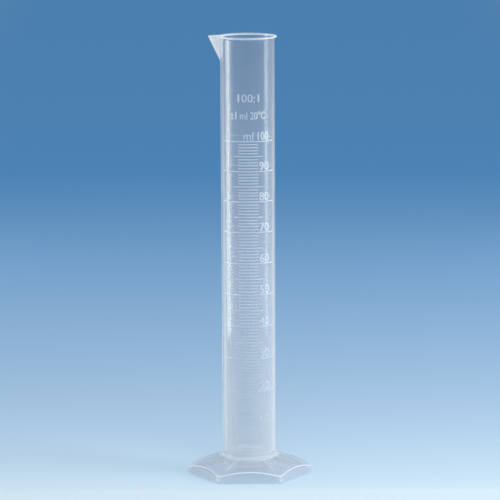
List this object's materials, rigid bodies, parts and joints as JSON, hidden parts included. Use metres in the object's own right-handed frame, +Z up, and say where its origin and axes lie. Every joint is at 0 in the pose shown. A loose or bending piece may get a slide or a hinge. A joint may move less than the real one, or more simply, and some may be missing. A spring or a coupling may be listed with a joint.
{
  "type": "graduated cylinder",
  "caption": "Tall translucent plastic measuring cylinder on a hollow hexagonal foot, with a beaded rim, a pouring lip and a raised millilitre scale.",
  "frame": {"origin": "on the tube's axis, in the plane that the foot stands on", "axes": "+Z up along the tube's axis; the pouring lip points to -X; the scale faces -Y; two corners of the foot lie on the X axis"},
  "size_m": [0.0708, 0.0624, 0.25],
  "materials": {
    "translucent_polypropylene": "milky, see-through, satin",
    "raised_scale": "satin, reads whiter than the tube"
  },
  "bodies": {
    "root": {"measuring_tube": "translucent_polypropylene", "hex_foot": "translucent_polypropylene", "foot_gussets": "translucent_polypropylene", "rim_bead": "translucent_polypropylene", "pouring_lip": "translucent_polypropylene", "ring_marks": "raised_scale", "half_marks": "raised_scale", "unit_marks": "raised_scale"}
  },
  "joints": []
}
